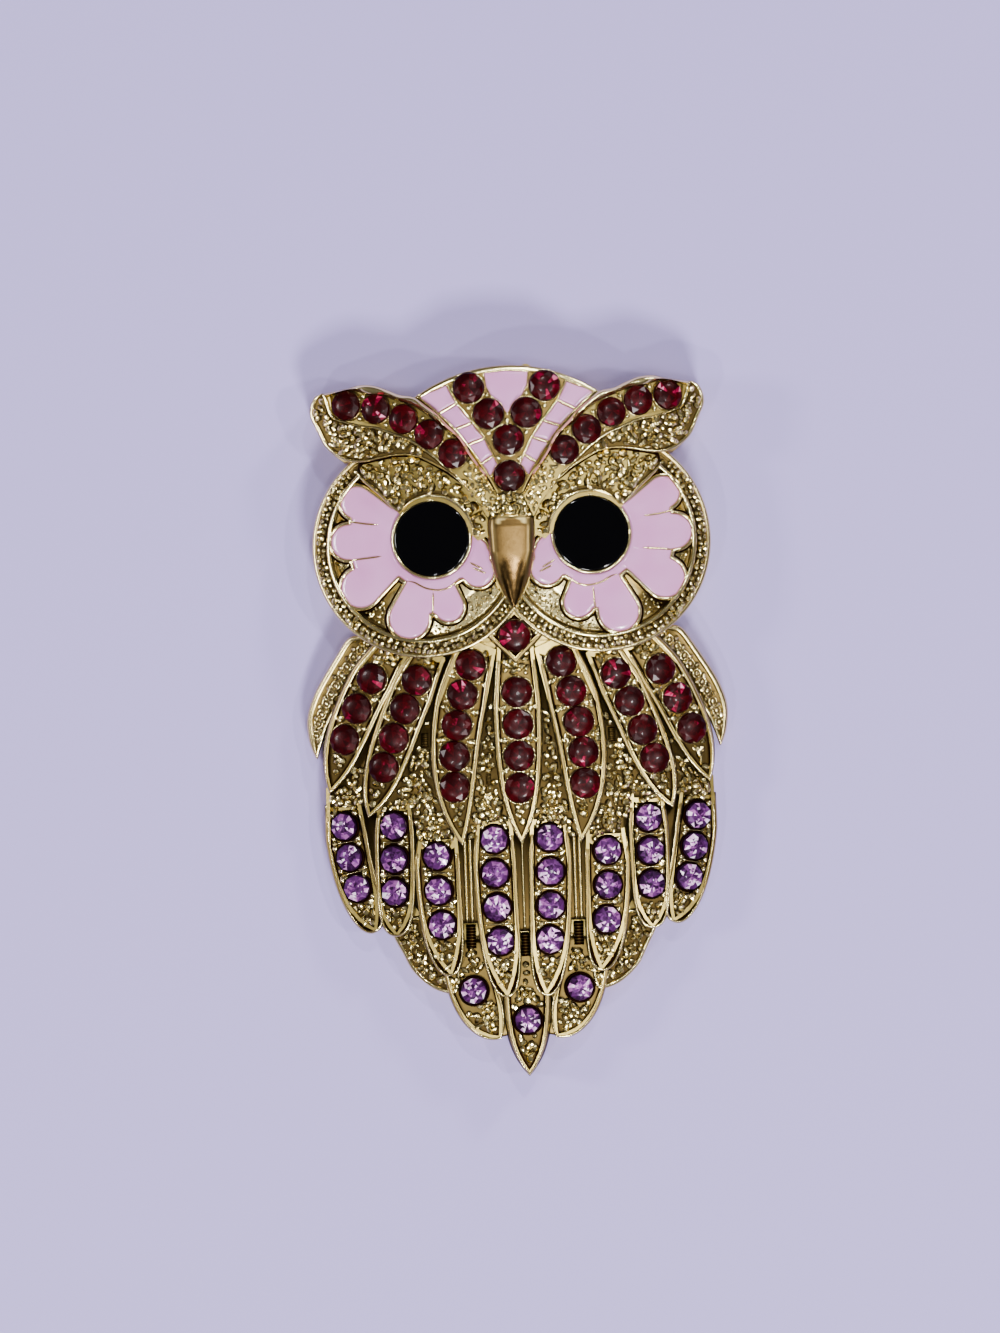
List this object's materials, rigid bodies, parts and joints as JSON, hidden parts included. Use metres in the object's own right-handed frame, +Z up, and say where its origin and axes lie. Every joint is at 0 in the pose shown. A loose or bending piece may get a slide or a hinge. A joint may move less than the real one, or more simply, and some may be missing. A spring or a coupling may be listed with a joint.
{
  "type": "figural animal brooch",
  "caption": "Owl-shaped cast brooch with raised feathers, petal enamel round domed eyes, set round stones and a bar pin in its hollow back.",
  "frame": {"origin": "centre of the bounding box's bottom: the middle of the plane that the back's rim lies in", "axes": "+Y to the top of the owl's head, +Z up out of its front, +X to the right as seen from the front"},
  "size_m": [0.0352, 0.0592, 0.0091],
  "materials": {
    "gold": "polished pale gold plating on a zinc casting, dark in its recesses",
    "steel": "plated steel wire and bar",
    "black": "glossy black, low dome",
    "enamel": "glossy pale lilac pink enamel",
    "ruby": "cut glass, foiled back, deep ruby red",
    "amethyst": "cut glass, foiled back, light amethyst purple"
  },
  "bodies": {
    "root": {"casting": "gold", "pin_finding": "steel", "eye_left": "black", "eye_right": "black", "face_enamel_left": "enamel", "face_enamel_right": "enamel", "forehead_enamel": "enamel", "crown_cells_left": "enamel", "crown_cells_right": "enamel", "brow_stones_left": "ruby", "brow_stones_right": "ruby", "forehead_stones": "ruby", "throat_stone": "ruby", "tail_stones": "amethyst", "red_row_1": "ruby", "red_row_2": "ruby", "red_row_3": "ruby", "red_row_4": "ruby", "red_row_5": "ruby", "red_row_6": "ruby", "red_row_7": "ruby", "purple_row_1": "amethyst", "purple_row_2": "amethyst", "purple_row_3": "amethyst", "purple_row_4": "amethyst", "purple_row_5": "amethyst", "purple_row_6": "amethyst", "purple_row_7": "amethyst", "purple_row_8": "amethyst"}
  },
  "joints": []
}
